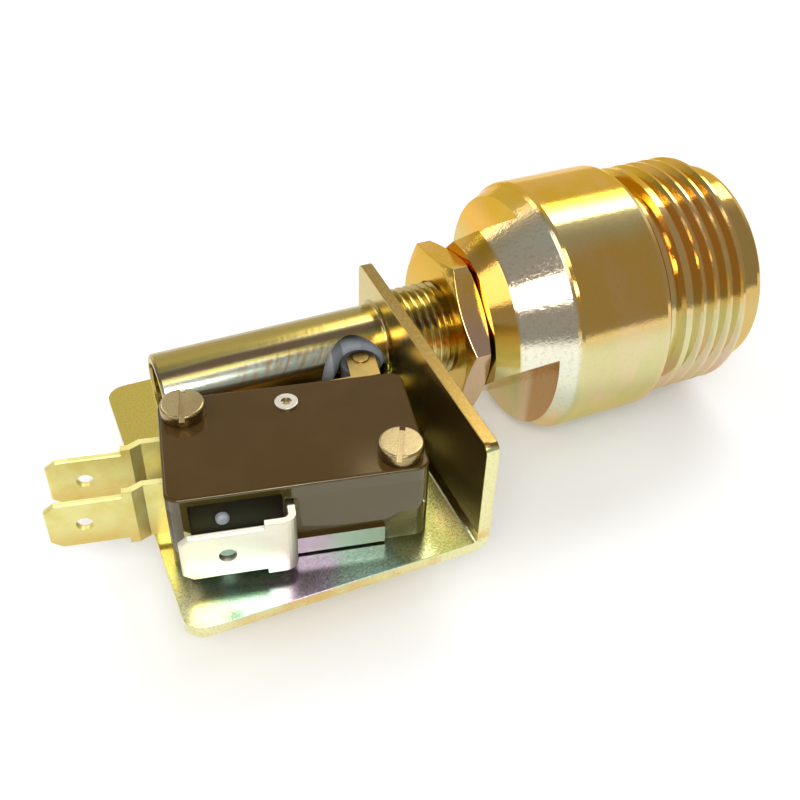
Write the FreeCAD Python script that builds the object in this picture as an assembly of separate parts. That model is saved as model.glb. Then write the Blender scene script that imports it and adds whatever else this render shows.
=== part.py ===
import FreeCAD, Part
import math
import os

os.makedirs("parts", exist_ok=True)

V = FreeCAD.Vector
X_AXIS = V(1, 0, 0)
Y_AXIS = V(0, 1, 0)
Z_AXIS = V(0, 0, 1)

# Lengths are in millimetres. Stations along the tube axis are measured from the inner face of the
# bracket's upright wall, and the finished part is moved so that the middle of the coarse thread is
# the origin.

# Driving dimensions
TUBE_R = 4.85
PLUNGER_R = 3.6
NECK_R = 5.95
BARREL_R = 16.3
THREAD_R = 15.3
THREAD_PITCH = 2.0
THREAD_TURNS = 5
FLATS_ACROSS = 18.0
NUT_ACROSS = 19.0
NUT_THICK = 3.2
SHEET = 1.5
CASE_L = 27.8
CASE_W = 15.9
CASE_H = 10.3
CASE_YAW = -11.0
ROLLER_R = 2.4
ROLLER_W = 3.2
STROKE = 2.0
TAB_W = 6.35
TAB_T = 0.8

# Clearances
RUN_FIT = 0.07
SLIP_FIT = 0.05
FREE_GAP = 0.3
TOUCH_GAP = 0.06

# Guide tube and plunger stations
SLEEVE_LEFT = -27.7
WALL_IN = 0.0
WALL_OUT = WALL_IN + SHEET
NECK_SHOWN = 6.4
NUT_LEFT = WALL_OUT + NECK_SHOWN
BODY_LEFT = NUT_LEFT + NUT_THICK
BORE_R = PLUNGER_R + RUN_FIT
GROOVE_R = PLUNGER_R - 2.0
AXLE_X = -3.9
AXLE_Y = -(GROOVE_R + ROLLER_R + FREE_GAP)
FOOT_R = 0.5
WINDOW_R = ROLLER_R + 1.8
WINDOW_X = AXLE_X - 0.95
WINDOW_Z = -0.05

# Bracket
AXIS_H = TUBE_R + 1.65
PLATE_TOP = -AXIS_H
BEND_R = 0.6
WALL_TOP = TUBE_R + 3.0
WALL_BACK = TUBE_R + 1.4
PLATE_BACK = TUBE_R + 6.05

# Switch case in its own frame: u along its length, v across it towards the lever, w up from the plate
CASE_MID = CASE_H / 2
CASE_END = CASE_L / 2
CASE_FACE = CASE_W / 2
CASE_WALL = 1.6
COVER_T = CASE_MID - TAB_W / 2 - 0.15
BASE_H = CASE_H - COVER_T
FLOOR_T = 1.5
CORNER_R = 1.5
SCREW_U = CASE_END - 2.8
SCREW_V = CASE_FACE - 2.8
SCREW_R = 1.45
HEAD_R = 2.45
HEAD_H = 1.6
PILLAR_R = 2.8
AXLE_U = CASE_END - 3.65
AXLE_V = CASE_FACE + 5.55
YAW = math.radians(CASE_YAW)
CASE_X = AXLE_X - (math.cos(YAW) * AXLE_U - math.sin(YAW) * AXLE_V)
CASE_Y = AXLE_Y - (math.sin(YAW) * AXLE_U + math.cos(YAW) * AXLE_V)


def case_xy(u, v):
    """Row position of a point given in the switch's own frame."""
    x = CASE_X + math.cos(YAW) * u - math.sin(YAW) * v
    y = CASE_Y + math.sin(YAW) * u + math.cos(YAW) * v
    return x, y


PLATE_LEFT = case_xy(-CASE_END, -CASE_FACE)[0] - 0.9
PLATE_FRONT = case_xy(CASE_END, -CASE_FACE)[1] - 3.4

# Threaded body stations
FLATS_LEN = 6.45
NOSE_LEN = 8.8
BARREL_LEN = 13.0
RELIEF_LEN = 2.3
COLLAR_LEN = 3.3
NECK_GRIP = 12.4
CHAMBER_WALL = 4.7
PISTON_LEN = 8.0
STEP_X = BODY_LEFT + FLATS_LEN
BARREL_LEFT = BODY_LEFT + NOSE_LEN
BARREL_RIGHT = BARREL_LEFT + BARREL_LEN
THREAD_LEFT = BARREL_RIGHT + RELIEF_LEN
THREAD_LEN = THREAD_PITCH * (THREAD_TURNS - 0.1)
THREAD_RIGHT = THREAD_LEFT + THREAD_LEN
THREAD_ROOT = THREAD_R - 0.55 * THREAD_PITCH
END_R = THREAD_ROOT - 0.5
BODY_RIGHT = THREAD_RIGHT + COLLAR_LEN
NECK_RIGHT = BODY_LEFT + NECK_GRIP
CHAMBER_LEFT = NECK_RIGHT + 1.5
CHAMBER_R = END_R - CHAMBER_WALL
PISTON_LEFT = CHAMBER_LEFT + STROKE + 0.5
PISTON_RIGHT = PISTON_LEFT + PISTON_LEN
PLUG_LEFT = PISTON_RIGHT + FREE_GAP
PLUG_R = CHAMBER_R + 1.0
ORIGIN_X = (THREAD_LEFT + THREAD_RIGHT) / 2

# Return spring and its seats
SCREW_FACE = SLEEVE_LEFT + 1.5
SPRING_LEFT = SCREW_FACE + 3.0
PLUNGER_LEFT = -14.0
SPRING_R = PLUNGER_R - 0.95
WIRE_R = 0.4
SPRING_TURNS = 7


def save(node, shape):
    """Move a piece to the thread's origin and write it."""
    piece = shape.copy()
    piece.translate(V(-ORIGIN_X, 0, 0))
    piece.exportStep("parts/" + node + ".step")


def save_case(node, shape):
    """Write a piece that was drawn in the switch's own frame."""
    piece = shape.copy()
    piece.Placement = FreeCAD.Placement(V(CASE_X, CASE_Y, PLATE_TOP), FreeCAD.Rotation(Z_AXIS, CASE_YAW))
    save(node, piece)


def turned(points):
    """Solid of revolution about the tube axis from (station, radius) points."""
    wire = Part.makePolygon([V(x, 0, r) for x, r in points + points[:1]])
    return Part.Face(wire).revolve(V(0, 0, 0), X_AXIS, 360)


def rod_x(r, x0, x1):
    return Part.makeCylinder(r, x1 - x0, V(x0, 0, 0), X_AXIS)


def rod_w(r, u, v, w0, w1):
    return Part.makeCylinder(r, w1 - w0, V(u, v, w0), Z_AXIS)


def rod_v(r, u, w, v0, v1):
    return Part.makeCylinder(r, v1 - v0, V(u, v0, w), Y_AXIS)


def block(u0, u1, v0, v1, w0, w1):
    return Part.makeBox(u1 - u0, v1 - v0, w1 - w0, V(u0, v0, w0))


def edges_along(shape, axis, test):
    """Straight edges parallel to an axis whose middle passes the test."""
    found = []
    for edge in shape.Edges:
        if len(edge.Vertexes) != 2:
            continue
        step = edge.Vertexes[1].Point - edge.Vertexes[0].Point
        if step.Length < 1e-6 or abs(step.dot(axis)) < step.Length * 0.999:
            continue
        if test(edge.CenterOfMass):
            found.append(edge)
    return found


def strip(points, thick, w0, w1):
    """Bent strip of constant thickness that follows (u, v) points, standing from w0 to w1."""
    half = thick / 2
    left = []
    right = []
    last = len(points) - 1
    for i, (u, v) in enumerate(points):
        before = points[max(i - 1, 0)]
        after = points[min(i + 1, last)]
        d0 = V(u - before[0], v - before[1], 0)
        d1 = V(after[0] - u, after[1] - v, 0)
        if d0.Length == 0:
            d0 = d1
        if d1.Length == 0:
            d1 = d0
        d0.normalize()
        d1.normalize()
        n0 = V(-d0.y, d0.x, 0)
        n1 = V(-d1.y, d1.x, 0)
        mitre = (n0 + n1) * (1.0 / (1.0 + n0.dot(n1)))
        left.append(V(u, v, w0) + mitre * half)
        right.append(V(u, v, w0) - mitre * half)
    outline = left + right[::-1]
    return Part.Face(Part.makePolygon(outline + outline[:1])).extrude(V(0, 0, w1 - w0))


def arc_points(centre, r, a0, a1, count):
    """Points on an arc in the (u, v) plane, angles in degrees."""
    out = []
    for i in range(count + 1):
        a = math.radians(a0 + (a1 - a0) * i / count)
        out.append((centre[0] + r * math.cos(a), centre[1] + r * math.sin(a)))
    return out


# Bracket: bent L with rounded corners, the tube's hole and two tapped holes
outer_r = BEND_R + SHEET
plate_bottom = PLATE_TOP - SHEET
mid = math.sqrt(0.5)
bend_x = WALL_IN - BEND_R
bend_z = PLATE_TOP + BEND_R
profile = [V(PLATE_LEFT, 0, plate_bottom), V(bend_x, 0, plate_bottom), V(WALL_OUT, 0, bend_z),
           V(WALL_OUT, 0, WALL_TOP), V(WALL_IN, 0, WALL_TOP), V(WALL_IN, 0, bend_z),
           V(bend_x, 0, PLATE_TOP), V(PLATE_LEFT, 0, PLATE_TOP)]
outer_mid = V(bend_x + outer_r * mid, 0, bend_z - outer_r * mid)
inner_mid = V(bend_x + BEND_R * mid, 0, bend_z - BEND_R * mid)
outer_arc = Part.Arc(profile[1], outer_mid, profile[2]).toShape()
inner_arc = Part.Arc(profile[5], inner_mid, profile[6]).toShape()
sides = [Part.makeLine(profile[0], profile[1]), outer_arc, Part.makeLine(profile[2], profile[3]),
         Part.makeLine(profile[3], profile[4]), Part.makeLine(profile[4], profile[5]), inner_arc,
         Part.makeLine(profile[6], profile[7]), Part.makeLine(profile[7], profile[0])]
bracket = Part.Face(Part.Wire(sides)).extrude(V(0, PLATE_BACK - PLATE_FRONT, 0))
bracket.translate(V(0, PLATE_FRONT, 0))
plate_ends = edges_along(bracket, Z_AXIS, lambda c: c.x < PLATE_LEFT + 0.1)
bracket = bracket.makeFillet(2.2, plate_ends)
relief = Part.makeBox(WALL_OUT + 4, PLATE_BACK, AXIS_H + WALL_TOP + 4,
                      V(bend_x - 0.4, WALL_BACK, plate_bottom - 1))
bracket = bracket.cut(relief)
wall_ends = edges_along(bracket, X_AXIS, lambda c: c.z > WALL_TOP - 0.1)
bracket = bracket.makeFillet(1.0, wall_ends)
bracket = bracket.cut(rod_x(TUBE_R + SLIP_FIT, WALL_IN - 1, WALL_OUT + 1))
SCREW_SPOTS = [(-SCREW_U, SCREW_V), (SCREW_U, -SCREW_V)]
for spot in SCREW_SPOTS:
    sx, sy = case_xy(*spot)
    hole = Part.makeCylinder(SCREW_R + SLIP_FIT, 3 * SHEET, V(sx, sy, PLATE_TOP - 2 * SHEET), Z_AXIS)
    bracket = bracket.cut(hole)
save("bracket", bracket)

# Guide sleeve: tube, swaged foot, shoulder and threaded neck, bored through, with the round window
foot = []
for i in range(7):
    a = math.radians(90 * i / 6)
    foot.append((WALL_IN - FOOT_R + FOOT_R * math.sin(a), TUBE_R + FOOT_R - FOOT_R * math.cos(a)))
neck = []
neck_pitch = 1.0
neck_root = NECK_R - 0.55 * neck_pitch
ridges = int((BODY_LEFT - WALL_OUT) / neck_pitch) - 1
for i in range(ridges):
    x = WALL_OUT + 0.6 + i * neck_pitch
    neck += [(x, NECK_R), (x + 0.18, NECK_R), (x + 0.5, neck_root), (x + 0.62, neck_root)]
outline = [(SLEEVE_LEFT, BORE_R + 0.3), (SLEEVE_LEFT, TUBE_R - 0.3), (SLEEVE_LEFT + 0.3, TUBE_R)]
outline += foot + [(WALL_IN, TUBE_R), (WALL_OUT, TUBE_R), (WALL_OUT, neck_root)] + neck
outline += [(WALL_OUT + 0.6 + ridges * neck_pitch, NECK_R), (NECK_RIGHT - 0.5, NECK_R)]
outline += [(NECK_RIGHT, NECK_R - 0.5), (NECK_RIGHT, BORE_R), (SLEEVE_LEFT + 0.3, BORE_R)]
sleeve = turned(outline)
window = Part.makeCylinder(WINDOW_R, TUBE_R + 2, V(WINDOW_X, 0, WINDOW_Z), V(0, -1, 0))
save("guide_sleeve", sleeve.cut(window))


# Jam nut: hexagon with turned chamfers, one flat facing up and to the front
def hexagon(across, x0, x1, turn):
    corner_r = across / math.sqrt(3)
    ring = []
    for i in range(7):
        a = math.radians(turn + 60 * i)
        ring.append(V(x0, corner_r * math.cos(a), corner_r * math.sin(a)))
    return Part.Face(Part.makePolygon(ring)).extrude(V(x1 - x0, 0, 0))


nut_half = NUT_ACROSS / 2
nut_corner = NUT_ACROSS / math.sqrt(3) + 0.2
chamfer = 0.45 * (nut_corner - nut_half)
nut_bore = NECK_R + SLIP_FIT
nut_turned = turned([(NUT_LEFT, nut_bore), (NUT_LEFT, nut_half - 0.2), (NUT_LEFT + chamfer, nut_corner),
                     (BODY_LEFT - chamfer, nut_corner), (BODY_LEFT, nut_half - 0.2), (BODY_LEFT, nut_bore)])
save("jam_nut", hexagon(NUT_ACROSS, NUT_LEFT, BODY_LEFT, 105).common(nut_turned))

# Threaded body: milled nose, barrel, relief groove, coarse thread, end collar, all bored
nose_r = FLATS_ACROSS / 2 + 1.9
nose = [(BODY_LEFT, NECK_R + SLIP_FIT), (BODY_LEFT, nose_r), (BODY_LEFT + 2.2, nose_r + 2.1),
        (BARREL_LEFT - 0.35, BARREL_R - 0.45), (BARREL_LEFT, BARREL_R - 0.12), (BARREL_LEFT + 0.4, BARREL_R)]
shoulder = [(BARREL_RIGHT - 1.0, BARREL_R), (BARREL_RIGHT - 0.5, BARREL_R - 0.13),
            (BARREL_RIGHT - 0.13, BARREL_R - 0.5), (BARREL_RIGHT, BARREL_R - 1.0),
            (BARREL_RIGHT + 0.3, THREAD_ROOT + 0.3), (BARREL_RIGHT + 0.7, THREAD_ROOT),
            (THREAD_LEFT - 0.4, THREAD_ROOT)]
thread = [(THREAD_LEFT + 0.1, THREAD_R), (THREAD_LEFT + 1.0, THREAD_R)]
flank = 0.34 * THREAD_PITCH
crest = 0.14 * THREAD_PITCH
for i in range(THREAD_TURNS - 1):
    x = THREAD_LEFT + 1.0 + i * THREAD_PITCH
    thread += [(x + flank, THREAD_ROOT), (x + flank + crest, THREAD_ROOT), (x + 2 * flank + crest, THREAD_R),
               (x + THREAD_PITCH, THREAD_R)]
thread += [(THREAD_RIGHT, END_R)]
collar = [(BODY_RIGHT - 1.0, END_R), (BODY_RIGHT - 0.5, END_R - 0.13), (BODY_RIGHT - 0.13, END_R - 0.5),
          (BODY_RIGHT, END_R - 1.0)]
inside = [(BODY_RIGHT, PLUG_R + SLIP_FIT), (PLUG_LEFT, PLUG_R + SLIP_FIT), (PLUG_LEFT, CHAMBER_R),
          (CHAMBER_LEFT, CHAMBER_R), (CHAMBER_LEFT, PLUNGER_R + 0.5), (NECK_RIGHT + 0.3, PLUNGER_R + 0.5),
          (NECK_RIGHT + 0.3, NECK_R + SLIP_FIT)]
body = turned(nose + shoulder + thread + collar + inside)
flat_tool = Part.makeBox(STEP_X - BODY_LEFT + 1, 3 * BARREL_R, BARREL_R,
                         V(BODY_LEFT - 1, -1.5 * BARREL_R, FLATS_ACROSS / 2))
FLAT_TURN = 132.0
for half_turn in (0, 180):
    tool = flat_tool.copy()
    tool.rotate(V(0, 0, 0), X_AXIS, FLAT_TURN + half_turn)
    body = body.cut(tool)
save("threaded_body", body)

# Inlet plug: stepped disc with a small hole for the pressure
plug_end = BODY_RIGHT - 1.4
inlet_r = 1.75
save("inlet_plug", turned([(PLUG_LEFT, inlet_r), (PLUG_LEFT, PLUG_R), (plug_end - 0.4, PLUG_R),
                           (plug_end, PLUG_R - 0.4), (plug_end, inlet_r + 1.2), (plug_end - 1.2, inlet_r)]))

# Plunger: rod with a spring spigot, and a coned groove for the roller
floor_half = 1.2
cone = PLUNGER_R - GROOVE_R
spigot_r = SPRING_R - WIRE_R - 0.25
save("plunger", turned([(PLUNGER_LEFT - 2.2, 0), (PLUNGER_LEFT - 2.2, spigot_r - 0.3),
                        (PLUNGER_LEFT - 1.9, spigot_r), (PLUNGER_LEFT, spigot_r),
                        (PLUNGER_LEFT, PLUNGER_R - 0.3), (PLUNGER_LEFT + 0.3, PLUNGER_R),
                        (AXLE_X - floor_half - cone, PLUNGER_R), (AXLE_X - floor_half, GROOVE_R),
                        (AXLE_X + floor_half, GROOVE_R), (AXLE_X + floor_half + cone, PLUNGER_R),
                        (PISTON_LEFT, PLUNGER_R), (PISTON_LEFT, 0)]))

# Piston with a seal groove, and the seal
piston_r = CHAMBER_R - RUN_FIT
seal_r = 0.9
seal_mid = (PISTON_LEFT + PISTON_RIGHT) / 2
groove_floor = piston_r - 2 * seal_r
save("piston", turned([(PISTON_LEFT, 0), (PISTON_LEFT, piston_r - 0.5), (PISTON_LEFT + 0.5, piston_r),
                       (seal_mid - 1.2, piston_r), (seal_mid - 1.2, groove_floor),
                       (seal_mid + 1.2, groove_floor), (seal_mid + 1.2, piston_r),
                       (PISTON_RIGHT - 0.5, piston_r), (PISTON_RIGHT, piston_r - 0.5), (PISTON_RIGHT, 0)]))
save("piston_seal", Part.makeTorus(groove_floor + seal_r + 0.03, seal_r, V(seal_mid, 0, 0), X_AXIS))

# Return spring and the slotted screw that sets it
spring_free = PLUNGER_LEFT - SPRING_LEFT - 2 * WIRE_R
helix = Part.makeHelix(spring_free / SPRING_TURNS, spring_free, SPRING_R)
wire_start = helix.Edges[0].valueAt(helix.Edges[0].FirstParameter)
wire_dir = helix.Edges[0].tangentAt(helix.Edges[0].FirstParameter)
section = Part.Wire(Part.makeCircle(WIRE_R, wire_start, wire_dir))
spring = Part.Wire(helix.Edges).makePipeShell([section], True, True)
spring.rotate(V(0, 0, 0), Y_AXIS, 90)
spring.translate(V(SPRING_LEFT + WIRE_R, 0, 0))
save("return_spring", spring)
seat = turned([(SCREW_FACE, 0), (SCREW_FACE, PLUNGER_R - 0.3), (SCREW_FACE + 0.3, PLUNGER_R),
               (SPRING_LEFT, PLUNGER_R), (SPRING_LEFT, spigot_r),
               (SPRING_LEFT + 1.6, spigot_r - 0.1), (SPRING_LEFT + 1.6, 0)])
seat = seat.cut(block(SCREW_FACE - 1, SCREW_FACE + 1.1, -PLUNGER_R - 1, PLUNGER_R + 1, -0.5, 0.5))
save("adjusting_screw", seat)

# Switch case: base with pillars, front ledge and recess
BUTTON_U = 3.6
BUTTON_R = 1.15
PIVOT_U = -CASE_END + 5.7
PIVOT_V = CASE_FACE - 0.85
PIVOT_R = 0.5
KNUCKLE_R = 0.95
LEVER_T = 0.5
LEVER_HALF = ROLLER_W / 2 + 0.6
LEVER_MID = CASE_MID + 0.95
EYELET = (0.2, CASE_FACE - 3.15)
EYELET_R = 0.9
JOGGLE = 0.7
TAB_STEP = 6.35
NC_V = SCREW_V - SCREW_R - TAB_T / 2 - FREE_GAP - SLIP_FIT
NO_V = NC_V - TAB_STEP
COMMON_U = -1.3
CONTACT_U = -CASE_END + 4.5
TAB_ROOT = -CASE_END + 5.7
RECESS_LEFT = -CASE_END + 2.2
CONTACT_R = 1.3
LEDGE_OUT = 0.6
LEDGE_H = 2.7
RECESS = 0.9
LIP_H = 0.85
base = block(-CASE_END, CASE_END, -CASE_FACE, CASE_FACE, 0, BASE_H)
base = base.makeFillet(CORNER_R, edges_along(base, Z_AXIS, lambda c: True))
ledge = block(-CASE_END + CORNER_R, CASE_END - 5.05, -CASE_FACE - LEDGE_OUT, -CASE_FACE + 0.3,
              FREE_GAP, LEDGE_H)
hollow = block(-CASE_END + CASE_WALL, CASE_END - CASE_WALL, -CASE_FACE + CASE_WALL, CASE_FACE - CASE_WALL,
               FLOOR_T, BASE_H + 1)
pillars = [rod_w(PILLAR_R, u, v, 0, BASE_H + 1) for u, v in SCREW_SPOTS]
hollow = hollow.cut(rod_w(1.5, EYELET[0], EYELET[1], 0, BASE_H + 1).fuse(pillars))
base = base.fuse(ledge).cut(hollow).removeSplitter()
recess = block(RECESS_LEFT, COMMON_U - 0.7, -CASE_FACE - 0.01, -CASE_FACE + RECESS, LEDGE_H, BASE_H + LIP_H)
base = base.cut(recess)
cuts = [rod_w(SCREW_R + SLIP_FIT, u, v, -1, BASE_H + 1) for u, v in SCREW_SPOTS]
tab_lo = CASE_MID - TAB_W / 2
tab_hi = CASE_MID + TAB_W / 2
for v in (NC_V, NO_V):
    cuts.append(block(-CASE_END - 1, TAB_ROOT + 0.2, v - TAB_T / 2 - SLIP_FIT, v + TAB_T / 2 + SLIP_FIT,
                      tab_lo, BASE_H + 1))
inner_lo = CASE_MID - 2.5
cuts.append(block(COMMON_U - TAB_T / 2 - SLIP_FIT, COMMON_U + TAB_T / 2 + SLIP_FIT, -CASE_FACE - 1,
                  -CASE_FACE + CASE_WALL + 0.1, inner_lo, BASE_H + 1))
cuts.append(rod_v(BUTTON_R + RUN_FIT, BUTTON_U, CASE_MID, CASE_FACE - CASE_WALL - 1, CASE_FACE + 1))
notch = KNUCKLE_R + FREE_GAP
notch_w = LEVER_HALF + FREE_GAP
cuts.append(block(PIVOT_U - notch, PIVOT_U + notch, PIVOT_V - notch, CASE_FACE + 1, LEVER_MID - notch_w,
                  LEVER_MID + notch_w))
pin_half = LEVER_HALF + 0.9
pin_hole = rod_w(PIVOT_R + 0.02, PIVOT_U, PIVOT_V, LEVER_MID - pin_half, LEVER_MID + pin_half)
cuts.append(pin_hole)
cuts.append(rod_w(EYELET_R + SLIP_FIT, EYELET[0], EYELET[1], FLOOR_T, BASE_H + 1))
cuts.append(rod_v(CONTACT_R + FREE_GAP, CONTACT_U, CASE_MID, 0, NC_V))
base = base.cut(cuts[0].fuse(cuts[1:]))
save_case("switch_base", base)

# Cover: flat top with the screw and eyelet holes
cover = block(-CASE_END, CASE_END, -CASE_FACE, CASE_FACE, BASE_H, CASE_H)
cover = cover.makeFillet(CORNER_R, edges_along(cover, Z_AXIS, lambda c: True))
top_rim = [edge for edge in cover.Edges if edge.CenterOfMass.z > CASE_H - 1e-6]
cover = cover.makeFillet(0.35, top_rim)
for u, v in SCREW_SPOTS:
    cover = cover.cut(rod_w(SCREW_R + SLIP_FIT, u, v, 0, CASE_H + 1))
cover = cover.cut(rod_w(EYELET_R + SLIP_FIT, EYELET[0], EYELET[1], 0, CASE_H + 1))
save_case("switch_cover", cover.cut(recess.fuse(pin_hole)))

# Eyelet: hollow rivet through the cover
eyelet = rod_w(EYELET_R, EYELET[0], EYELET[1], FLOOR_T + 1, CASE_H + 0.1)
brim = Part.makeCylinder(1.35, 0.3, V(EYELET[0], EYELET[1], CASE_H), Z_AXIS)
eyelet = eyelet.fuse(brim.makeFillet(0.12, [brim.Edges[0]])).removeSplitter()
eyelet = eyelet.cut(rod_w(EYELET_R - 0.3, EYELET[0], EYELET[1], FLOOR_T + 1.5, CASE_H + 1))
save_case("cover_eyelet", eyelet)

# Mounting screws: slotted cheese heads
screws = []
slot_turns = (-5.0, -16.0)
for (u, v), turn in zip(SCREW_SPOTS, slot_turns):
    head = rod_w(HEAD_R, u, v, CASE_H, CASE_H + HEAD_H)
    rim = [edge for edge in head.Edges if edge.CenterOfMass.z > CASE_H + HEAD_H - 1e-6]
    head = head.makeFillet(0.3, rim)
    slot = block(-0.32, 0.32, -3, 3, CASE_H + HEAD_H - 0.75, CASE_H + HEAD_H + 1)
    slot.rotate(V(0, 0, 0), Z_AXIS, turn)
    slot.translate(V(u, v, 0))
    shank = rod_w(SCREW_R, u, v, -SHEET - 0.4, CASE_H + 0.2)
    screws.append(head.fuse(shank).cut(slot).removeSplitter())
save_case("mounting_screws", Part.makeCompound(screws))

# Small domed pin in the front recess
pin_u = RECESS_LEFT + 3.4
recess_v = -CASE_FACE + RECESS
pin = rod_v(0.75, pin_u, CASE_MID + 1.0, recess_v - 0.75, recess_v)
dome = [edge for edge in pin.Edges if edge.CenterOfMass.y < recess_v - 0.74]
save_case("front_rivet", pin.makeFillet(0.5, dome))

# Tabs on the left end: joggled strips with pierced holes, chamfered tips and coined edges
TAB_LEN = 12.4
TAB_TIP = -CASE_END - TAB_LEN
TAB_HOLE_R = 0.9
TAB_HOLE_U = TAB_TIP + 3.9
SHOULDER_U = -CASE_END - 4.3
SHOULDER_W = TAB_W + 1.35


def blade_outline(u0, u1, half, tip):
    """Upright tab face with a chamfered tip at its left end."""
    points = [(u0, half - tip), (u0 + tip * 1.3, half), (u1, half), (u1, -half), (u0 + tip * 1.3, -half),
              (u0, -half + tip)]
    ring = [V(u, 0, CASE_MID + w) for u, w in points]
    return Part.Face(Part.makePolygon(ring + ring[:1]))


def coined(flat, u_end):
    """Tab with small chamfers round its tip and along its long edges."""
    rim = []
    for edge in flat.Edges:
        across = abs(edge.tangentAt(edge.FirstParameter).y) > 0.5
        if not across and edge.CenterOfMass.x < u_end - 0.1:
            rim.append(edge)
    return flat.makeChamfer(0.2, rim)


def tab(v):
    out_v = v - JOGGLE
    flat = blade_outline(TAB_TIP, SHOULDER_U + 0.2, TAB_W / 2, 0.9).extrude(V(0, TAB_T, 0))
    flat.translate(V(0, out_v - TAB_T / 2, 0))
    flat = coined(flat, SHOULDER_U + 0.2)
    bend = [(SHOULDER_U, out_v), (SHOULDER_U + 0.9, out_v), (SHOULDER_U + 2.1, v)]
    wide = strip(bend + [(-CASE_END, v)], TAB_T, CASE_MID - SHOULDER_W / 2, CASE_MID + SHOULDER_W / 2)
    root = strip([(-CASE_END - 0.2, v), (TAB_ROOT, v)], TAB_T, CASE_MID - TAB_W / 2, CASE_MID + TAB_W / 2)
    hole = rod_v(TAB_HOLE_R, TAB_HOLE_U, CASE_MID, out_v - 2, out_v + 2)
    return flat.fuse([wide, root]).cut(hole).removeSplitter()


save_case("nc_terminal", tab(NC_V))
save_case("no_terminal", tab(NO_V))

# Common tab: bent strip from the blade's post inside the case to the front
BLADE_T = 0.3
NC_FACE = NC_V - TAB_T / 2 - 0.7
NO_FACE = NO_V + TAB_T / 2 + 1.0
blade_mid = NC_FACE - 1.0
POST_U = SCREW_U - PILLAR_R - TAB_T / 2 - 3 * FREE_GAP
OUT_V = -CASE_FACE - 3.6 + TAB_T / 2
COMMON_TIP = -CASE_END + 0.9
INNER_V = -CASE_FACE + CASE_WALL + 1.1
COMMON_SHOULDER = COMMON_U - 2.95
front_bend = arc_points((COMMON_U - 1.0, OUT_V + 1.0), 1.0, 0, -90, 6)
route = [(POST_U, blade_mid - 0.55), (POST_U, INNER_V), (COMMON_U, INNER_V)] + front_bend
route.append((COMMON_U - 2.0, OUT_V))
common = strip(route, TAB_T, inner_lo, CASE_MID + 2.5)
outside = [(COMMON_U, -CASE_FACE - 1.2)] + front_bend + [(COMMON_SHOULDER, OUT_V)]
wide = strip(outside, TAB_T, CASE_MID - 3.75, CASE_MID + 3.75)
flat = blade_outline(COMMON_TIP, COMMON_SHOULDER + 0.3, TAB_W / 2, 0.8).extrude(V(0, TAB_T, 0))
flat.translate(V(0, OUT_V - TAB_T / 2, 0))
flat = coined(flat, COMMON_SHOULDER + 0.3)
common = common.fuse([wide, flat]).cut(rod_v(TAB_HOLE_R, COMMON_TIP + 4.8, CASE_MID, OUT_V - 2, OUT_V + 2))
save_case("common_terminal", common.removeSplitter())

# Contacts, blade and curved spring
save_case("nc_contact", rod_v(CONTACT_R, CONTACT_U, CASE_MID, NC_FACE, NC_V - TAB_T / 2))
save_case("no_contact", rod_v(CONTACT_R, CONTACT_U, CASE_MID, NO_V + TAB_T / 2, NO_FACE))
blade = block(CONTACT_U - 1.6, POST_U - TAB_T, blade_mid - BLADE_T / 2, blade_mid + BLADE_T / 2,
              CASE_MID - 1.8, CASE_MID + 1.8)
blade = blade.cut(rod_v(0.6, CONTACT_U, CASE_MID, blade_mid - 1, blade_mid + 1))
edge_roll = rod_w(0.3, POST_U - 0.6, blade_mid, CASE_MID - 1.8, CASE_MID + 1.8)
save_case("snap_blade", blade.fuse(edge_roll).removeSplitter())
upper = rod_v(CONTACT_R - 0.1, CONTACT_U, CASE_MID, blade_mid + BLADE_T / 2, NC_FACE - TOUCH_GAP)
lower = rod_v(CONTACT_R - 0.1, CONTACT_U, CASE_MID, blade_mid - BLADE_T / 2 - 0.7, blade_mid - BLADE_T / 2)
core = rod_v(0.6 - 0.02, CONTACT_U, CASE_MID, blade_mid - BLADE_T, blade_mid + BLADE_T)
save_case("moving_contact", upper.fuse([lower, core]).removeSplitter())
arch = arc_points((1.0, blade_mid - BLADE_T / 2 - 0.1), 2.6, 180, 345, 10)
arch_top = [(arch[0][0], blade_mid - BLADE_T / 2), (arch[0][0], blade_mid - BLADE_T / 2 - 0.3)]
save_case("snap_spring", strip(arch_top + arch[2:], 0.2, CASE_MID - 0.9, CASE_MID + 0.9))

# Lever: knuckle on its pin, rising strip, two ears for the roller
LEVER_START = CASE_FACE + 0.5
LEVER_END = AXLE_V - ROLLER_R - FREE_GAP - LEVER_T / 2 - 0.15
LEVER_TIP = AXLE_U + 1.75
w_lo = LEVER_MID - LEVER_HALF
w_hi = LEVER_MID + LEVER_HALF
EAR_T = 0.35
lever_line = [(PIVOT_U, PIVOT_V + 0.6), (PIVOT_U + 0.3, LEVER_START), (LEVER_TIP, LEVER_END)]
lever = strip(lever_line, LEVER_T, w_lo, w_hi)
lever = lever.fuse(rod_w(KNUCKLE_R, PIVOT_U, PIVOT_V, w_lo, w_hi))
ear_half = 1.75
slope = (LEVER_END - LEVER_START) / (LEVER_TIP - PIVOT_U - 0.3)
for w in (w_lo, w_hi - EAR_T):
    foot_l = LEVER_END - slope * 2 * ear_half
    u_l = AXLE_U - ear_half
    u_r = AXLE_U + ear_half
    ring = [V(u_l, foot_l, w), V(u_r, LEVER_END, w), V(u_r, AXLE_V + 0.1, w), V(AXLE_U + 0.85, AXLE_V + 1.1, w),
            V(AXLE_U - 0.85, AXLE_V + 1.1, w), V(u_l, AXLE_V + 0.1, w)]
    lever = lever.fuse(Part.Face(Part.makePolygon(ring + ring[:1])).extrude(V(0, 0, EAR_T)))
AXLE_R = 0.75
lever = lever.cut(rod_w(PIVOT_R + SLIP_FIT, PIVOT_U, PIVOT_V, -1, CASE_H + 1))
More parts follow.
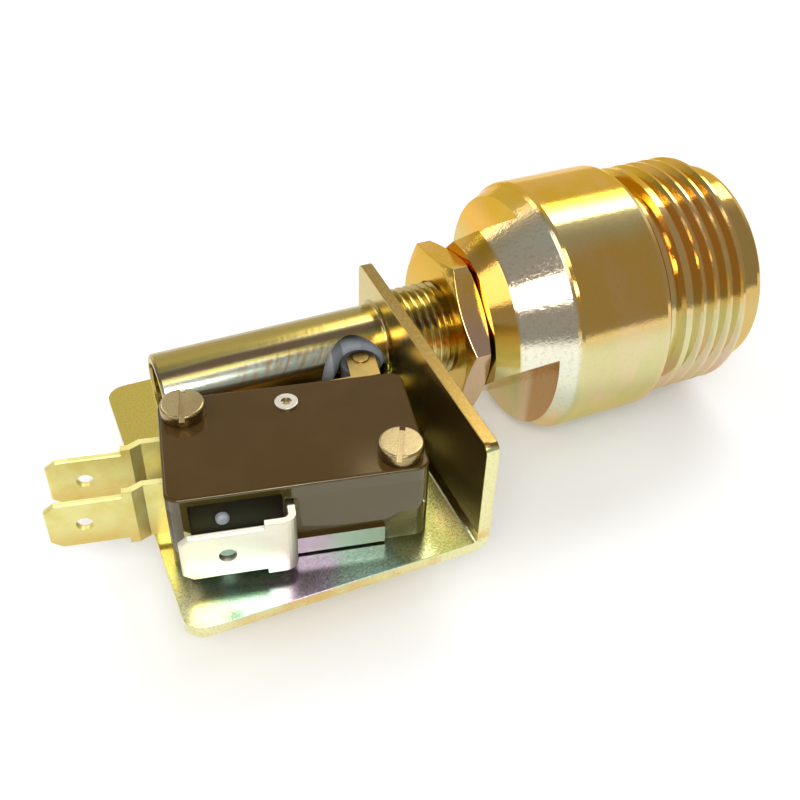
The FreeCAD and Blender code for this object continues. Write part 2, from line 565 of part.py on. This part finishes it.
lever = lever.cut(rod_w(AXLE_R + 0.02, AXLE_U, AXLE_V, w_lo - 1, w_hi + 1)).removeSplitter()
save_case("lever", lever)
save_case("lever_pin", rod_w(PIVOT_R, PIVOT_U, PIVOT_V, LEVER_MID - pin_half, LEVER_MID + pin_half))

# Roller on its riveted axle
roller = rod_w(ROLLER_R, AXLE_U, AXLE_V, LEVER_MID - ROLLER_W / 2, LEVER_MID + ROLLER_W / 2)
roller = roller.makeFillet(0.25, [e for e in roller.Edges if abs(e.CenterOfMass.z - LEVER_MID) > 0.5])
save_case("roller", roller.cut(rod_w(AXLE_R + RUN_FIT, AXLE_U, AXLE_V, 0, CASE_H)))
axle = rod_w(AXLE_R, AXLE_U, AXLE_V, w_lo - 0.02, w_hi + 0.02)
for w0, w1, w2 in ((w_hi, w_hi + 0.25, w_hi + 0.25), (w_lo - 0.25, w_lo, w_lo - 0.25)):
    head = rod_w(AXLE_R + 0.3, AXLE_U, AXLE_V, w0, w1)
    axle = axle.fuse(head.makeFillet(0.15, [e for e in head.Edges if abs(e.CenterOfMass.z - w2) < 1e-6]))
save_case("roller_axle", axle.removeSplitter())

# Button under the lever
contact_v = LEVER_START + slope * (BUTTON_U - PIVOT_U - 0.3) - LEVER_T / 2 * math.sqrt(1 + slope ** 2)
button_top = contact_v - slope * BUTTON_R * 0.4 - TOUCH_GAP
button = rod_v(BUTTON_R, BUTTON_U, CASE_MID, blade_mid + 1.0, button_top)
button = button.makeFillet(0.5, [e for e in button.Edges if e.CenterOfMass.y > button_top - 0.01])
inner_face = CASE_FACE - CASE_WALL
stop = rod_v(BUTTON_R + 0.45, BUTTON_U, CASE_MID, inner_face - 1.3, inner_face - SLIP_FIT)
save_case("button", button.fuse(stop).removeSplitter())
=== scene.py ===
import math

import bmesh
import bpy
from mathutils import Matrix, Vector


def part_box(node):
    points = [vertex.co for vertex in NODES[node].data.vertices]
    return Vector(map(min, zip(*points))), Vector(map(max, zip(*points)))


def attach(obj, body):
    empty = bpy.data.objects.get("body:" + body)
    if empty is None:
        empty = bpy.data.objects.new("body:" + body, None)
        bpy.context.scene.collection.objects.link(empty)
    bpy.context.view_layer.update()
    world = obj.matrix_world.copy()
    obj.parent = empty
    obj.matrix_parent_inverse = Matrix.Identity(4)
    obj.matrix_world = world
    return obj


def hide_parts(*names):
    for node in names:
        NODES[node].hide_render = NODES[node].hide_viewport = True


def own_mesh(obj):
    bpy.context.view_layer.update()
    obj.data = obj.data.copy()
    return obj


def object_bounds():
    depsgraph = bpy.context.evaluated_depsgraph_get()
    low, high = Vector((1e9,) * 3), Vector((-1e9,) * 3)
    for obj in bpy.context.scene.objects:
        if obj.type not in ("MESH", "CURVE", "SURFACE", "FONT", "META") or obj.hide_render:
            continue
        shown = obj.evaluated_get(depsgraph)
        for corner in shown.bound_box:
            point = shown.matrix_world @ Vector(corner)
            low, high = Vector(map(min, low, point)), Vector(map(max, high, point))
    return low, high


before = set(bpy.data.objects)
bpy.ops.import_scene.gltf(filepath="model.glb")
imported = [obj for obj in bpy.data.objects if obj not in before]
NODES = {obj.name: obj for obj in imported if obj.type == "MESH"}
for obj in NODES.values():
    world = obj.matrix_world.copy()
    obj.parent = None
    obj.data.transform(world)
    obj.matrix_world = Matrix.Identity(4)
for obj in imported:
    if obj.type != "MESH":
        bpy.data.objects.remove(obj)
box_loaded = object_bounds()
MM = 0.001


# Shader helpers

class Value:
    """A socket of a node tree that can be used in sums."""

    def __init__(self, net, socket):
        self.net = net
        self.socket = socket

    def __add__(self, other):
        return self.net.math("ADD", self, other)

    def __radd__(self, other):
        return self.net.math("ADD", other, self)

    def __sub__(self, other):
        return self.net.math("SUBTRACT", self, other)

    def __rsub__(self, other):
        return self.net.math("SUBTRACT", other, self)

    def __mul__(self, other):
        return self.net.math("MULTIPLY", self, other)

    def __rmul__(self, other):
        return self.net.math("MULTIPLY", other, self)


class Net:
    """The node tree of one material or world."""

    def __init__(self, owner):
        owner.use_nodes = True
        self.tree = owner.node_tree
        self.tree.nodes.clear()

    def node(self, kind, inputs, **settings):
        """Add a node, set it, feed its sockets, and give its outputs by name."""
        made = self.tree.nodes.new(kind)
        for key, value in settings.items():
            setattr(made, key, value)
        for key, value in inputs.items():
            if isinstance(value, Value):
                self.tree.links.new(value.socket, made.inputs[key])
            else:
                made.inputs[key].default_value = value
        return {socket.name: Value(self, socket) for socket in made.outputs if socket.enabled}

    def math(self, operation, a, b):
        return self.node("ShaderNodeMath", {0: a, 1: b}, operation=operation)["Value"]

    def blend(self, factor, a, b):
        return self.node("ShaderNodeMix", {0: factor, 6: a, 7: b}, data_type="RGBA")["Result"]

    def axes(self):
        place = self.node("ShaderNodeTexCoord", {})["Object"]
        split = self.node("ShaderNodeSeparateXYZ", {0: place})
        return split["X"], split["Y"], split["Z"]

    def noise(self, scale, detail=2.0, rough=0.5, stretch=(1, 1, 1)):
        place = self.node("ShaderNodeTexCoord", {})["Object"]
        spot = self.node("ShaderNodeMapping", {0: place, 3: stretch})["Vector"]
        sockets = {0: spot, "Scale": scale, "Detail": detail, "Roughness": rough}
        return self.node("ShaderNodeTexNoise", sockets)["Fac"]

    def steps(self, factor, low, high):
        sockets = {0: factor, 1: low, 2: high}
        return self.node("ShaderNodeMapRange", sockets, interpolation_type="SMOOTHSTEP")["Result"]

    def facing(self, axis):
        """How far the surface faces along an axis."""
        normal = self.node("ShaderNodeNewGeometry", {})["Normal"]
        return self.node("ShaderNodeVectorMath", {0: normal, 1: axis}, operation="DOT_PRODUCT")["Value"]

    def bump(self, height, strength, distance):
        sockets = {"Height": height, "Strength": strength, "Distance": distance}
        return self.node("ShaderNodeBump", sockets)["Normal"]

    def surface(self, **inputs):
        named = {}
        for key, value in inputs.items():
            named[key.replace("_", " ").title().replace("Ior", "IOR")] = value
        shader = self.node("ShaderNodeBsdfPrincipled", named)["BSDF"]
        self.node("ShaderNodeOutputMaterial", {0: shader})


def colour(r, g, b):
    return (r, g, b, 1.0)


def material(name):
    made = bpy.data.materials.new(name)
    return made, Net(made)


# Finishes: colours first, then one function for each kind of surface

PALE_GOLD = colour(0.77, 0.74, 0.39)
GOLD = colour(0.70, 0.49, 0.17)
STRAW = colour(0.65, 0.60, 0.30)
BRONZE = colour(0.82, 0.47, 0.10)
HONEY = colour(0.62, 0.36, 0.03)
AMBER = colour(0.66, 0.43, 0.09)
UMBER = colour(0.30, 0.20, 0.08)
GREEN = colour(0.50, 0.58, 0.26)
TEAL = colour(0.38, 0.70, 0.60)
ROSE = colour(0.85, 0.60, 0.50)
VIOLET = colour(0.60, 0.50, 0.78)
SILVER = colour(0.82, 0.85, 0.78)
RUST = colour(0.55, 0.33, 0.17)
OLIVE = colour(0.54, 0.42, 0.08)
TUBE_TOP = colour(0.36, 0.28, 0.07)
TUBE_SILVER = colour(0.58, 0.65, 0.54)
DARK_GREEN = colour(0.20, 0.25, 0.07)
DARK_ROSE = colour(0.24, 0.15, 0.10)
COPPER = colour(0.62, 0.42, 0.33)
WARM_RIM = colour(1.0, 0.85, 0.55)
TUBE_RADIUS = 0.00485
CASE_FRONT = Vector((-0.1908, -0.9816, 0.0))
CASE_DEPTH = max(CASE_FRONT.dot(corner.co) for corner in NODES["switch_cover"].data.vertices)


def film_gold(net, reach, film, patch_scale):
    """Passivated zinc with a faint rose and green film low down; painted reflection makes it paler below, a
    painted highlight band runs just under the top, and painted shade turns the far top honey.
    """
    y, z = net.axes()[1:]
    cloud = net.noise(patch_scale)
    drift = net.noise(patch_scale * 1.6, 2.0, 0.5, (1.8, 0.8, 0.8))
    lift = z * (1.0 / reach) + (cloud - 0.5) * 0.35
    # painted reflection: pale straw low down, where the floor would be mirrored, and bronze higher up
    base = net.blend(net.steps(lift, 0.15, 0.50), STRAW, BRONZE)
    # painted highlight: a pale band just below the top
    painted_highlight_band = net.blend(net.steps(lift, 0.80, 0.95) * 0.6, base, PALE_GOLD)
    # painted shade: honey over the far top
    painted_shade_top = net.steps(y * (1.0 / reach), -0.32, -0.14) * net.steps(lift, 0.5, 0.8)
    top = net.blend(painted_shade_top, painted_highlight_band, HONEY)
    under = net.steps(lift * -1.0, -0.3, 0.5) * 0.85 + 0.15
    green = net.blend(net.steps(drift, 0.46, 0.74) * under * film, top, GREEN)
    return net.blend(net.steps(1.0 - drift, 0.46, 0.74) * under * film, green, ROSE)


def turned_plating(name):
    """The threaded body: film gold with ring tool marks and a pitted cone behind the nose, with a painted
    silver highlight across the front of the cone and faintly on the thread.
    """
    made, net = material(name)
    x, y, z = net.axes()
    film = film_gold(net, 0.016, 0.90, 80.0)
    gold = net.blend(net.steps(x, 0.0045, 0.0056) * 0.7, film, HONEY)
    pits = net.noise(2000.0, 3.0, 0.7)
    grain = net.noise(7000.0, 2.0, 0.6)
    rings = net.noise(3800.0, 2.0, 0.6, (1.0, 0.02, 0.02))
    cone = net.steps(x, -0.0270, -0.0264) * (1.0 - net.steps(x, -0.0206, -0.0201))
    thread = net.steps(x, -0.0086, -0.0080)
    facing = net.steps(y * -1.0, -0.002, 0.006) * net.steps(z, -0.009, -0.003)
    notch = net.steps(z * -1.0, 0.006, 0.012) * (1.0 - net.steps(x, -0.026, -0.018))
    tilt = net.facing((1, 0, 0))
    shoulder = net.steps(tilt * tilt, 0.75, 0.90) * net.steps(x, -0.0235, -0.0230) * (1.0 - thread)
    below = shoulder * net.steps(z * -1.0, -0.004, 0.0)
    low_thread = thread * net.steps(z * -1.0, 0.001, 0.010)
    mauve = net.blend(low_thread * net.steps(net.noise(180.0), 0.40, 0.60) * 0.45, gold, ROSE)
    rosy = net.blend(notch * net.steps(net.noise(240.0), 0.44, 0.6) * 0.6, mauve, ROSE)
    stripe = net.blend(below * net.steps(y * -1.0, 0.0055, 0.0075) * 0.6, rosy, ROSE)
    blush = net.blend(below * net.steps(y * -1.0, 0.0083, 0.0100) * 0.95, stripe, RUST)
    # painted highlight: silver across the front of the cone and, faintly, the thread
    bright = net.blend((cone * (1.0 - shoulder) * 0.6 + thread * 0.10) * facing, blush, SILVER)
    speck = net.blend(net.steps(pits, 0.52, 0.66) * (0.06 + cone * facing * 0.14), bright, UMBER)
    height = grain * 0.25 + rings * 0.25 + pits * (0.8 + cone * 1.3)
    net.surface(base_color=speck, metallic=1.0, roughness=0.06 + grain * 0.04 + rings * 0.03,
                specular_tint=WARM_RIM, normal=net.bump(height, 0.24, 0.00005))
    return made


def milled_plating(name):
    """Nut and small fittings: film gold with a fine pitted surface."""
    made, net = material(name)
    z = net.axes()[2]
    # film_gold paints reflection, a highlight band and shade by height
    gold = film_gold(net, 0.011, 0.6, 130.0)
    pits = net.noise(4200.0, 2.0, 0.65)
    tilt = net.facing((1, 0, 0))
    end = net.steps(tilt * tilt, 0.10, 0.40)
    # copper tint towards the bottom, away from the end faces
    copper_low = net.blend(net.steps(z * -1.0, -0.009, -0.004) * 0.75 * (1.0 - end), gold, COPPER)
    face = net.blend(end * 0.7, copper_low, AMBER)
    speck = net.blend(net.steps(pits, 0.58, 0.68) * (1.0 - end) * 0.35, face, ROSE)
    net.surface(base_color=speck, metallic=1.0, roughness=0.14 + pits * 0.08,
                specular_tint=WARM_RIM, normal=net.bump(pits, 0.3, 0.00004))
    return made


def drawn_plating(name):
    """Guide tube: film gold with painted shade along the top and the far side, a painted dark green and rose
    band below it, and a painted silver highlight band on the front, with slanting polish marks across its
    length.
    """
    made, net = material(name)
    x, y, z = net.axes()
    gold = film_gold(net, TUBE_RADIUS, 0.5, 150.0)
    across = x - z * 0.9
    length = z + x * 0.9
    slant = net.node("ShaderNodeCombineXYZ", {0: across, 1: y * 0.2, 2: length * 0.12})["Vector"]
    sockets = {0: slant, "Scale": 1500.0, "Detail": 2.0, "Roughness": 0.5}
    marks = net.node("ShaderNodeTexNoise", sockets)["Fac"]
    hatch = net.steps(x, -0.064, -0.054)
    grain = net.noise(6000.0, 2.0, 0.6)
    band = net.noise(260.0, 2.0, 0.5, (0.25, 1.6, 1.6))
    streak = net.blend(net.steps(band, 0.46, 0.62) * 0.55, gold, GREEN)
    dark = net.blend(net.steps(1.0 - band, 0.50, 0.66) * 0.6, streak, UMBER)
    near = net.steps(y * -1.0, 0.0005, 0.0015)
    rise = z * (1.0 / TUBE_RADIUS) + (band - 0.5) * 0.12
    # painted highlight zone on the front of the tube
    front = near * net.steps(rise, 0.30, 0.52) * (1.0 - net.steps(rise, 0.72, 0.82))
    # painted shade band just above the highlight
    shaded = near * net.steps(rise, 0.74, 0.83) * (1.0 - net.steps(rise, 0.93, 0.98))
    # painted shade over the top and the far side
    crown = 1.0 - near * (1.0 - net.steps(rise, 0.94, 0.99))
    painted_shade_crown = net.blend(crown * 0.85, dark, TUBE_TOP)
    painted_shade_tint = net.blend(net.steps(rise, 0.80, 0.88), DARK_GREEN, DARK_ROSE)
    painted_dark_band = net.blend(shaded * 0.85, painted_shade_crown, painted_shade_tint)
    left = 1.0 - net.steps(x, -0.048, -0.043)
    cover = 0.9 - hatch * net.steps(1.0 - marks, 0.46, 0.62) * 0.5
    # painted highlight: silver band on the front of the tube
    painted_highlight_silver = net.blend(front * left * cover, painted_dark_band, TUBE_SILVER)
    height = marks * hatch * 0.6 + grain * 0.25
    net.surface(base_color=painted_highlight_silver, metallic=1.0, roughness=0.15 + marks * 0.08,
                normal=net.bump(height, 0.4, 0.00005))
    return made


def sheet_plating(name):
    """The bracket's sheet: gold, with a violet, blue and green film across the front of its plate; painted
    reflection lightens the plate's front-left and the strip by the flange, and painted light and shade
    colour the flange's faces by the way they face.
    """
    made, net = material(name)
    x, y, z = net.axes()
    cloud = net.noise(90.0, 3.0, 0.6)
    drift = net.noise(170.0, 3.0, 0.6, (1.0, 1.5, 1.0))
    grit = net.noise(3400.0, 2.0, 0.6)
    sand = net.noise(8000.0, 2.0, 0.6)
    along = (x + 0.071) * (1.0 / 0.031) + (drift - 0.5) * 0.36
    ahead = net.steps(y * -1.0 + (cloud - 0.5) * 0.008, 0.014, 0.021)
    level = net.steps(z * -1.0, 0.0058, 0.0063) * (1.0 - net.steps(z * -1.0, 0.00652, 0.00660))
    patch = ahead * level
    base = net.blend(net.steps(cloud, 0.38, 0.62), GOLD, PALE_GOLD)
    # painted reflection: the plate's front-left and the strip by the flange lightened to pale gold
    left = net.steps(x * -1.0 + (cloud - 0.5) * 0.004, 0.0655, 0.0690) * net.steps(y * -1.0, 0.008, 0.012)
    strip = left + net.steps(x, -0.0455, -0.0440)
    rear = net.blend(net.steps(y, -0.008, -0.004), base, OLIVE)
    painted_bright_zones = net.blend(strip * net.steps(z * -1.0, 0.0058, 0.0063), rear, PALE_GOLD)
    # painted light and shade on the flange: front faces pale, faces across the axis mid gold, the rest dark
    # brown
    side = net.facing((1, 0, 0))
    near = net.facing((0, -1, 0))
    painted_face_shade = net.blend(net.steps(near, 0.5, 0.8), colour(0.30, 0.19, 0.04), PALE_GOLD)
    painted_flange_shade = net.blend(net.steps(side * side, 0.3, 0.7), painted_face_shade, colour(0.62, 0.50, 0.18))
    wall = net.blend(net.steps(z, -0.005, -0.002), painted_bright_zones, painted_flange_shade)
    start = net.blend(net.steps(along, -0.02, 0.10), PALE_GOLD, TEAL)
    middle = net.blend(net.steps(along, 0.24, 0.34), start, VIOLET)
    later = net.blend(net.steps(along, 0.42, 0.56), middle, TEAL)
    last = net.blend(net.steps(along, 0.64, 0.76), later, GREEN)
    film = net.blend(net.steps(along, 0.88, 1.0), last, wall)
    tinted = net.blend(patch * 0.9, wall, film)
    bright = net.blend(net.steps(grit, 0.52, 0.64) * (0.06 + patch * 0.4), tinted, SILVER)
    speck = net.blend(net.steps(1.0 - grit, 0.54, 0.66) * (0.22 + patch * 0.25), bright, UMBER)
    height = grit * 0.25 + sand * (0.1 + patch * 0.5)
    satin = net.steps(z, -0.005, -0.002) * 0.12 + patch * 0.10
    net.surface(base_color=speck, metallic=1.0, roughness=0.09 + grit * 0.08 + satin,
                normal=net.bump(height, 0.4, 0.00003))
    return made


def plain_metal(name, tone, dark, rough):
    """Tinned, brass or steel strip with slight handling marks."""
    made, net = material(name)
    cloud = net.noise(260.0, 3.0, 0.6)
    fine = net.noise(4200.0, 2.0, 0.6)
    base = net.blend(net.steps(cloud, 0.42, 0.7), tone, dark)
    net.surface(base_color=base, metallic=1.0, roughness=rough + fine * 0.14,
                normal=net.bump(fine, 0.2, 0.00004))
    return made


def tab_brass(name):
    """Pale brass tabs, amber towards their lower edges."""
    made, net = material(name)
    z = net.axes()[2]
    cloud = net.noise(320.0, 3.0, 0.6)
    fine = net.noise(4200.0, 2.0, 0.6)
    base = net.blend(net.steps(cloud, 0.42, 0.68), colour(0.80, 0.74, 0.29), colour(0.75, 0.64, 0.20))
    low = net.steps(z * -1.0 + (cloud - 0.5) * 0.0012, 0.0004, 0.0045)
    # amber towards the lower edge
    amber_low = net.blend(low * 0.6, base, AMBER)
    net.surface(base_color=amber_low, metallic=0.6, roughness=0.34 + fine * 0.14,
                normal=net.bump(fine, 0.2, 0.00004))
    return made


def satin_steel(name, tone, light):
    """Plunger, roller and pin: dull grey with a blue cast."""
    made, net = material(name)
    cloud = net.noise(300.0, 2.0, 0.5)
    fine = net.noise(5200.0, 2.0, 0.6)
    base = net.blend(net.steps(cloud, 0.4, 0.65), tone, light)
    net.surface(base_color=base, metallic=0.15, roughness=0.46 + fine * 0.12,
                normal=net.bump(fine, 0.15, 0.00003))
    return made


def glossy_case(name):
    """The brown case: duller on top, with a polished front that mirrors the plate; the front face is tinted
    olive as a painted reflection, and its recessed faces are painted near black as shade.
    """
    made, net = material(name)
    cloud = net.noise(120.0, 2.0, 0.5)
    fine = net.noise(2400.0, 2.0, 0.5)
    brown = net.blend(net.steps(cloud, 0.4, 0.7), colour(0.060, 0.032, 0.008), colour(0.070, 0.038, 0.010))
    ahead = net.facing(CASE_FRONT)
    x, y = net.axes()[:2]
    depth = x * CASE_FRONT.x + y * CASE_FRONT.y
    facing = net.steps(ahead, 0.5, 0.8)
    front = facing * net.steps(depth, CASE_DEPTH - 0.0006, CASE_DEPTH - 0.0004)
    recess = facing * (1.0 - net.steps(depth, CASE_DEPTH - 0.0006, CASE_DEPTH - 0.0004))
    # painted shade: recessed front faces near black
    dark = net.blend(recess, brown, colour(0.016, 0.013, 0.008))
    # real gloss coat on the front, with an olive tint that is a painted reflection of the plate
    base = net.blend(front, dark, colour(0.064, 0.050, 0.010))
    rough = 0.07 + fine * 0.05 + recess * 0.4
    net.surface(base_color=base, metallic=0.0, roughness=rough, specular_ior_level=0.28,
                specular_tint=colour(1.0, 0.72, 0.30), coat_weight=front, coat_roughness=0.03, coat_ior=1.58,
                normal=net.bump(fine, 0.04, 0.00003))
    return made


def moulding(name, tone, light, rough, gloss):
    """Moulded plastic with a slight orange-peel surface."""
    made, net = material(name)
    cloud = net.noise(120.0, 2.0, 0.5)
    fine = net.noise(2400.0, 2.0, 0.5)
    base = net.blend(net.steps(cloud, 0.4, 0.7), tone, light)
    net.surface(base_color=base, metallic=0.0, roughness=rough + fine * 0.08, specular_ior_level=gloss,
                normal=net.bump(fine, 0.06, 0.00003))
    return made


turned_gold = turned_plating("turned_gold")
milled_gold = milled_plating("milled_gold")
tube_gold = drawn_plating("tube_gold")
sheet_gold = sheet_plating("sheet_gold")
tinned = plain_metal("tinned", colour(0.84, 0.81, 0.66), colour(0.78, 0.72, 0.54), 0.34)
dull_tin = plain_metal("dull_tin", colour(0.58, 0.55, 0.46), colour(0.50, 0.46, 0.36), 0.30)
brass = tab_brass("pale_brass")
screw_tan = plain_metal("screw_tan", colour(0.38, 0.29, 0.14), colour(0.31, 0.23, 0.10), 0.22)
grey_steel = satin_steel("grey_steel", colour(0.42, 0.45, 0.49), colour(0.48, 0.52, 0.57))
dark_steel = satin_steel("dark_steel", colour(0.09, 0.09, 0.09), colour(0.12, 0.12, 0.12))
strip_brass = plain_metal("strip_brass", colour(0.47, 0.33, 0.11), colour(0.40, 0.27, 0.08), 0.24)
silver = plain_metal("silver", colour(0.86, 0.85, 0.82), colour(0.76, 0.75, 0.72), 0.2)
case_brown = glossy_case("case_brown")
resin_dark = moulding("resin_dark", colour(0.05, 0.048, 0.045), colour(0.065, 0.06, 0.055), 0.42, 0.4)
rubber = moulding("rubber", colour(0.025, 0.025, 0.025), colour(0.035, 0.035, 0.035), 0.6, 0.4)

LOOK = {
    "bracket": sheet_gold, "threaded_body": turned_gold, "jam_nut": milled_gold, "guide_sleeve": tube_gold,
    "inlet_plug": turned_gold, "adjusting_screw": milled_gold, "plunger": grey_steel, "piston": grey_steel,
    "piston_seal": rubber, "return_spring": silver, "mounting_screws": screw_tan, "switch_base": case_brown,
    "switch_cover": case_brown, "cover_eyelet": dull_tin, "front_rivet": grey_steel,
    "common_terminal": tinned, "nc_terminal": brass, "no_terminal": brass, "nc_contact": silver,
    "no_contact": silver,
    "moving_contact": silver, "snap_blade": strip_brass, "snap_spring": strip_brass, "lever": strip_brass,
    "lever_pin": grey_steel, "roller": dark_steel, "roller_axle": strip_brass, "button": resin_dark,
}
for name, node in NODES.items():
    for index in range(len(node.data.materials)):
        node.data.materials[index] = LOOK[name]

# Softened edges on the pieces whose corners catch the light
EDGE_WIDTH = {"bracket": 0.16, "jam_nut": 0.14, "nc_terminal": 0.06, "no_terminal": 0.06,
              "common_terminal": 0.08, "mounting_screws": 0.06, "switch_base": 0.12, "lever": 0.05}
for name, width in EDGE_WIDTH.items():
    node = NODES[name]
    weld = node.modifiers.new("weld", "WELD")
    weld.merge_threshold = 0.000002
    flat = node.modifiers.new("flat", "DECIMATE")
    flat.decimate_type = "DISSOLVE"
    flat.angle_limit = math.radians(0.6)
    edge = node.modifiers.new("edge", "BEVEL")
    edge.width = width * MM
    edge.segments = 2
    edge.limit_method = "ANGLE"
    edge.angle_limit = math.radians(32)


def piece(name, plan, look):
    """Turn a finished bmesh into an object of the scene."""
    mesh = bpy.data.meshes.new(name)
    plan.to_mesh(mesh)
    plan.free()
    mesh.materials.append(look)
    made = bpy.data.objects.new(name, mesh)
    bpy.context.scene.collection.objects.link(made)
    return made


# The cup pressed into the head of the cover's eyelet
CUP_DROP = 0.00030
CUP_THICK = 0.00020
CUP_RADIUS = 0.00062
CUP_RIM = 0.00022
eyelet_low, eyelet_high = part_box("cover_eyelet")
cup_place = (eyelet_low + eyelet_high) / 2
cup_place.z = eyelet_high.z - CUP_DROP - CUP_THICK / 2
plan = bmesh.new()
bmesh.ops.create_cone(plan, cap_ends=True, segments=48, radius1=CUP_RADIUS, radius2=CUP_RADIUS,
                      depth=CUP_THICK)
cup_top = max(plan.faces, key=lambda face: face.calc_center_median().z)
bmesh.ops.inset_region(plan, faces=[cup_top], thickness=CUP_RIM, depth=-CUP_THICK / 2)
bmesh.ops.translate(plan, verts=plan.verts, vec=cup_place)
cup = piece("eyelet_cup", plan, screw_tan)
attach(cup, "housing")

# Return spring: a wound coil in place of the CAD spring, fixed to the housing
WIRE_RADIUS = 0.0004
COIL_TURNS = 7
TURN_STEPS = 24
coil_low, coil_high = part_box("return_spring")
coil_length = coil_high.x - coil_low.x
coil_radius = (coil_high.z - coil_low.z) / 2 - WIRE_RADIUS
coil_steps = COIL_TURNS * TURN_STEPS
plan = bmesh.new()
bmesh.ops.create_circle(plan, cap_ends=True, segments=12, radius=WIRE_RADIUS)
bmesh.ops.rotate(plan, verts=plan.verts, cent=(0, 0, 0), matrix=Matrix.Rotation(math.pi / 2, 3, "X"))
bmesh.ops.translate(plan, verts=plan.verts, vec=(coil_low.x + WIRE_RADIUS, 0, -coil_radius))
wire = plan.verts[:] + plan.edges[:] + plan.faces[:]
climb = ((coil_length - 2 * WIRE_RADIUS) / coil_steps, 0, 0)
bmesh.ops.spin(plan, geom=wire, cent=(0, 0, 0), axis=(1, 0, 0), dvec=climb,
               angle=2 * math.pi * COIL_TURNS, steps=coil_steps, use_merge=False)
bmesh.ops.recalc_face_normals(plan, faces=plan.faces)
for face in plan.faces:
    face.smooth = len(face.verts) == 4
coil = piece("coil_spring", plan, silver)
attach(coil, "housing")
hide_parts("return_spring")
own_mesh(coil)

# Stage: floor, world and lamps
FLOOR_Z = box_loaded[0].z - 0.0002
FLOOR_HALF = 1.2
floor_look, net = material("floor")
path = net.node("ShaderNodeLightPath", {})
seen = net.math("MAXIMUM", path["Is Camera Ray"], path["Is Glossy Ray"])
place = net.node("ShaderNodeTexCoord", {})["Object"]
away = net.node("ShaderNodeVectorMath", {0: place}, operation="LENGTH")["Value"]
glow = net.blend(net.steps(away, 0.09, 0.36), colour(0.16, 0.16, 0.16), colour(0.62, 0.62, 0.62))
lift = net.blend(seen, colour(0.0, 0.0, 0.0), glow)
net.surface(base_color=colour(0.90, 0.90, 0.90), roughness=0.9, metallic=0.0,
            emission_color=lift, emission_strength=1.0)
plan = bmesh.new()
bmesh.ops.create_grid(plan, x_segments=1, y_segments=1, size=FLOOR_HALF)
bmesh.ops.translate(plan, verts=plan.verts, vec=(0, 0, FLOOR_Z))
piece("floor", plan, floor_look)

# The metal sees a pale wall behind the part and a dimmer room on the near side
WALL_SIDE = (0.416, 0.909, 0.0)
world = bpy.data.worlds.new("studio")
bpy.context.scene.world = world
net = Net(world)
path = net.node("ShaderNodeLightPath", {})
camera_ray = path["Is Camera Ray"]
mirror_ray = net.math("MAXIMUM", path["Is Glossy Ray"], path["Is Transmission Ray"])
direction = net.node("ShaderNodeTexCoord", {})["Generated"]
towards = net.node("ShaderNodeVectorMath", {0: direction, 1: WALL_SIDE}, operation="DOT_PRODUCT")["Value"]
room = 0.34 + net.steps(towards, 0.20, 0.65) * 0.56
strength = camera_ray + (1.0 - camera_ray) * (mirror_ray * room + (1.0 - mirror_ray) * 0.37)
shade = net.node("ShaderNodeBackground", {0: colour(1.0, 1.0, 1.0), 1: strength})["Background"]
net.node("ShaderNodeOutputWorld", {0: shade})


def lamp(name, place, target, size, power):
    data = bpy.data.lights.new(name, "AREA")
    data.shape = "RECTANGLE"
    data.size = size[0]
    data.size_y = size[1]
    data.energy = power
    made = bpy.data.objects.new(name, data)
    made.location = place
    made.rotation_mode = "QUATERNION"
    made.rotation_quaternion = (Vector(target) - Vector(place)).to_track_quat("-Z", "Y")
    bpy.context.scene.collection.objects.link(made)


lamp("overhead", (0.20, 0.17, 0.32), (0.20, 0.0, 0.0), (0.30, 0.15), 0.66)
lamp("front", (-0.116, -0.160, 0.180), (-0.02, 0.0, 0.0), (0.11, 0.08), 0.21)
lamp("near_tube", (-0.036, -0.080, 0.210), (-0.06, 0.0, 0.0), (0.07, 0.05), 0.036)
lamp("flash", (-0.058, -0.178, 0.170), (-0.055, -0.022, -0.005), (0.05, 0.04), 0.062)
lamp("back_left", (-0.20, 0.325, 0.33), (-0.044, -0.015, -0.006), (0.20, 0.20), 0.34)
lamp("side", (-0.32, -0.02, 0.22), (-0.03, 0.0, 0.0), (0.2, 0.2), 0.20)

# Camera at the photo's angle
right = Vector((0.9185, -0.39448, 0.02723))
up = Vector((0.24396, 0.61954, 0.74609))
back = Vector((-0.31119, -0.67864, 0.66529))
camera_data = bpy.data.cameras.new("camera")
camera_data.lens = 47.837
camera_data.sensor_width = 36.0
camera_data.clip_start = 0.005
camera_data.clip_end = 10.0
camera = bpy.data.objects.new("camera", camera_data)
turn = Matrix((right, up, back)).transposed().to_4x4()
camera.matrix_world = Matrix.Translation(Vector((-80.666, -96.085, 83.177)) * MM) @ turn
bpy.context.scene.collection.objects.link(camera)
bpy.context.scene.camera = camera
bpy.context.scene.view_settings.view_transform = "Standard"
